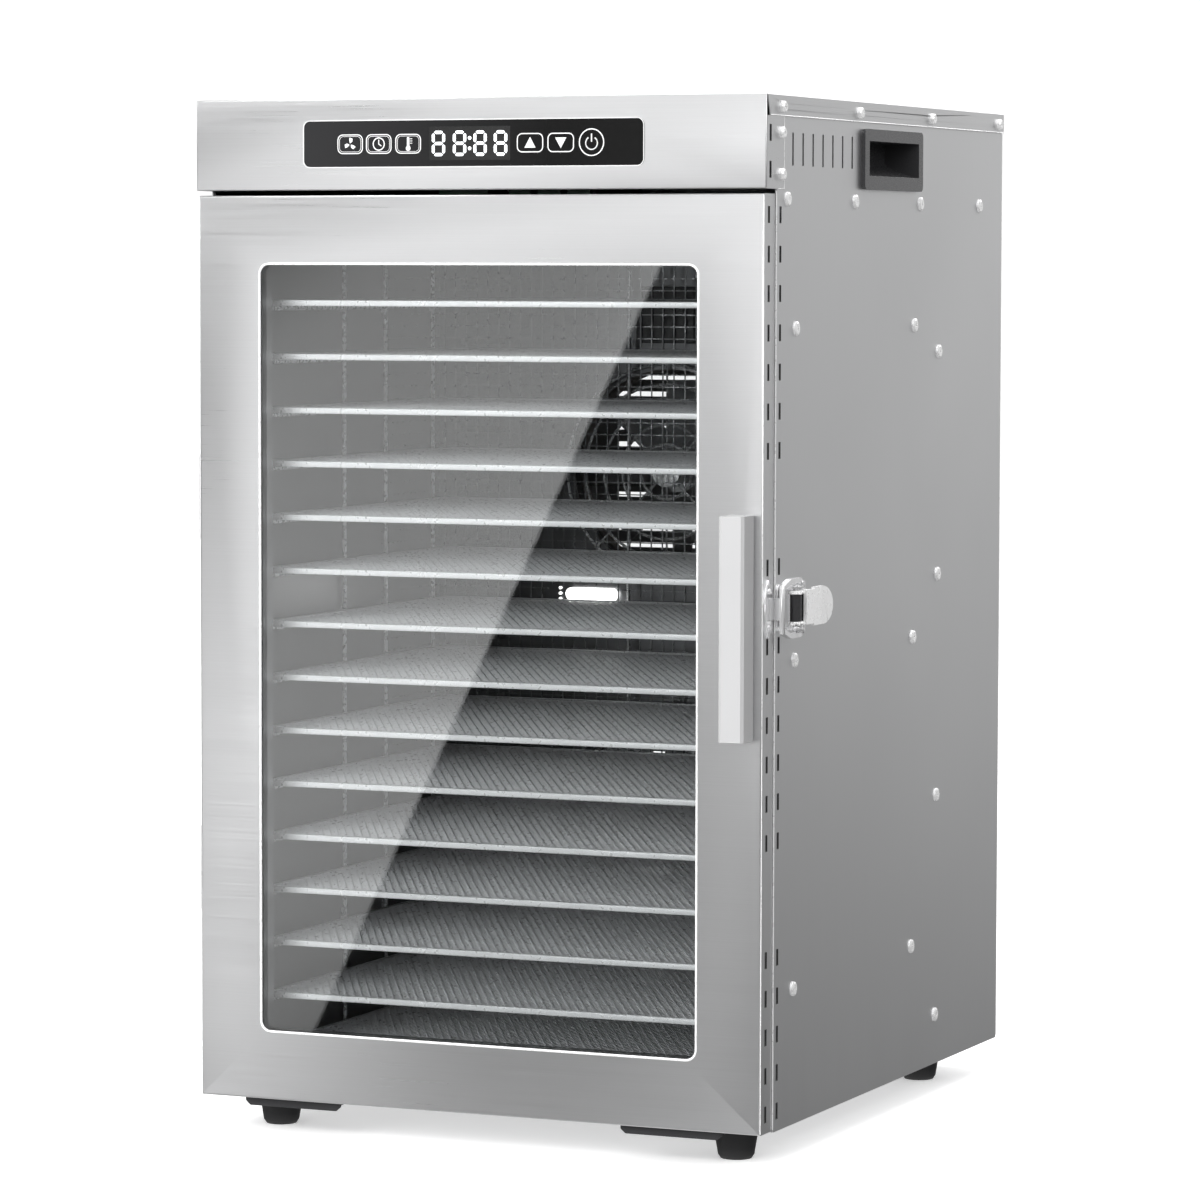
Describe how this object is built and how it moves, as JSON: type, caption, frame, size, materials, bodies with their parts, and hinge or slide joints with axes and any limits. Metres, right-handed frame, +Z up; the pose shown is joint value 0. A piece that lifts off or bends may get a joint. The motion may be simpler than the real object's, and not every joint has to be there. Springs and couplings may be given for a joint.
{
  "type": "food dehydrator",
  "caption": "Upright steel cabinet with a glazed side-hinged door, sliding mesh trays on wire racks, rear fans with ring heaters, and a touch panel; it dries sliced food.",
  "frame": {"origin": "on the floor under the feet, at the middle of the whole footprint, with the latch, hinges and pull handle counted", "axes": "+Z up, the door faces -Y, +X to the right of a person facing the door"},
  "size_m": [0.4824, 0.547, 0.776],
  "materials": {
    "shell_steel": "satin brushed, grain along the long side",
    "chamber_steel": "semi-polished, dark inside the chamber",
    "wire_steel": "electropolished wire",
    "heater_sheath": "oxidised sheath",
    "fan_aluminium": "pressed sheet",
    "black_metal": "black, semi-matt",
    "wire_insulation": "matt",
    "lamp_lens": "opal, lit",
    "black_plastic": "fine moulded grain",
    "overlay_gloss": "high gloss",
    "board_laminate": "solder mask",
    "door_glass": "clear, toughened",
    "gasket_rubber": "matt silicone",
    "handle_plastic": "satin, off-white",
    "hinge_steel": "satin",
    "latch_chrome": "polished plate",
    "grip_plastic": "dark grey, fine grain",
    "foot_rubber": "matt",
    "screw_steel": "bright zinc"
  },
  "bodies": {
    "cabinet": {"left_side_panel": "shell_steel", "right_side_panel": "shell_steel", "top_cover": "shell_steel", "back_panel": "shell_steel", "bottom_panel": "shell_steel", "front_frame": "chamber_steel", "chamber_wall_left": "chamber_steel", "chamber_wall_right": "chamber_steel", "chamber_ceiling": "chamber_steel", "chamber_floor": "chamber_steel", "rear_partition": "chamber_steel", "fan_guards": "wire_steel", "rack_left": "wire_steel", "rack_right": "wire_steel", "heater_rings": "heater_sheath", "fan_motors": "black_metal", "wiring_harness": "wire_insulation", "interior_lamp": "lamp_lens", "sensor_box": "black_plastic", "control_fascia": "shell_steel", "control_overlay": "overlay_gloss", "display_module": "black_plastic", "control_board": "board_laminate", "power_inlet": "black_plastic", "hinge_leaves_cabinet": "hinge_steel", "hinge_pins": "hinge_steel", "latch_base": "latch_chrome", "carry_handle_left": "grip_plastic", "carry_handle_right": "grip_plastic", "feet": "foot_rubber", "base_brackets": "black_metal", "cabinet_screws": "screw_steel"},
    "door": {"door_skin": "shell_steel", "door_inner_frame": "chamber_steel", "door_glass": "door_glass", "door_gasket": "gasket_rubber", "door_handle": "handle_plastic", "hinge_leaves_door": "hinge_steel", "latch_keeper": "latch_chrome", "door_screws": "screw_steel"},
    "latch_lever": {"latch_lever": "latch_chrome"},
    "latch_bail": {"latch_bail": "latch_chrome"},
    "fan_lower": {"fan_lower": "fan_aluminium"},
    "fan_upper": {"fan_upper": "fan_aluminium"},
    "tray_01": {"tray_01": "wire_steel"},
    "tray_02": {"tray_02": "wire_steel"},
    "tray_03": {"tray_03": "wire_steel"},
    "tray_04": {"tray_04": "wire_steel"},
    "tray_05": {"tray_05": "wire_steel"},
    "tray_06": {"tray_06": "wire_steel"},
    "tray_07": {"tray_07": "wire_steel"},
    "tray_08": {"tray_08": "wire_steel"},
    "tray_09": {"tray_09": "wire_steel"},
    "tray_10": {"tray_10": "wire_steel"},
    "tray_11": {"tray_11": "wire_steel"},
    "tray_12": {"tray_12": "wire_steel"},
    "tray_13": {"tray_13": "wire_steel"},
    "tray_14": {"tray_14": "wire_steel"},
    "tray_15": {"tray_15": "wire_steel"},
    "tray_16": {"tray_16": "wire_steel"}
  },
  "joints": [
    {"name": "door_hinge", "type": "hinge", "parent": "cabinet", "child": "door", "pos_m": [-0.23745, -0.22925, 0.339], "axis": [0, 0, -1], "range_deg": [0, 180]},
    {"name": "fan_lower_spin", "type": "hinge", "parent": "cabinet", "child": "fan_lower", "pos_m": [-0.00535, 0.1485, 0.216], "axis": [0, 1, 0], "continuous": true},
    {"name": "fan_upper_spin", "type": "hinge", "parent": "cabinet", "child": "fan_upper", "pos_m": [-0.00535, 0.1485, 0.489], "axis": [0, 1, 0], "continuous": true},
    {"name": "latch_bail_pivot", "type": "hinge", "parent": "latch_lever", "child": "latch_bail", "pos_m": [0.23185, -0.202, 0.407], "axis": [0, 0, -1], "range_deg": [-157.5, 0]},
    {"name": "latch_lever_pivot", "type": "hinge", "parent": "cabinet", "child": "latch_lever", "pos_m": [0.23265, -0.2135, 0.407], "axis": [0, 0, -1], "range_deg": [0, 150]},
    {"name": "tray_01_slide", "type": "slide", "parent": "cabinet", "child": "tray_01", "axis": [0, -1, 0], "range_m": [0, 0.01]},
    {"name": "tray_02_slide", "type": "slide", "parent": "cabinet", "child": "tray_02", "axis": [0, -1, 0], "range_m": [0, 0.01]},
    {"name": "tray_03_slide", "type": "slide", "parent": "cabinet", "child": "tray_03", "axis": [0, -1, 0], "range_m": [0, 0.01]},
    {"name": "tray_04_slide", "type": "slide", "parent": "cabinet", "child": "tray_04", "axis": [0, -1, 0], "range_m": [0, 0.01]},
    {"name": "tray_05_slide", "type": "slide", "parent": "cabinet", "child": "tray_05", "axis": [0, -1, 0], "range_m": [0, 0.01]},
    {"name": "tray_06_slide", "type": "slide", "parent": "cabinet", "child": "tray_06", "axis": [0, -1, 0], "range_m": [0, 0.01]},
    {"name": "tray_07_slide", "type": "slide", "parent": "cabinet", "child": "tray_07", "axis": [0, -1, 0], "range_m": [0, 0.01]},
    {"name": "tray_08_slide", "type": "slide", "parent": "cabinet", "child": "tray_08", "axis": [0, -1, 0], "range_m": [0, 0.01]},
    {"name": "tray_09_slide", "type": "slide", "parent": "cabinet", "child": "tray_09", "axis": [0, -1, 0], "range_m": [0, 0.01]},
    {"name": "tray_10_slide", "type": "slide", "parent": "cabinet", "child": "tray_10", "axis": [0, -1, 0], "range_m": [0, 0.01]},
    {"name": "tray_11_slide", "type": "slide", "parent": "cabinet", "child": "tray_11", "axis": [0, -1, 0], "range_m": [0, 0.01]},
    {"name": "tray_12_slide", "type": "slide", "parent": "cabinet", "child": "tray_12", "axis": [0, -1, 0], "range_m": [0, 0.01]},
    {"name": "tray_13_slide", "type": "slide", "parent": "cabinet", "child": "tray_13", "axis": [0, -1, 0], "range_m": [0, 0.01]},
    {"name": "tray_14_slide", "type": "slide", "parent": "cabinet", "child": "tray_14", "axis": [0, -1, 0], "range_m": [0, 0.01]},
    {"name": "tray_15_slide", "type": "slide", "parent": "cabinet", "child": "tray_15", "axis": [0, -1, 0], "range_m": [0, 0.01]},
    {"name": "tray_16_slide", "type": "slide", "parent": "cabinet", "child": "tray_16", "axis": [0, -1, 0], "range_m": [0, 0.01]}
  ],
  "couplings": [
    {"joint": "latch_bail_pivot", "follows": "latch_lever_pivot", "ratio": -1.05}
  ]
}
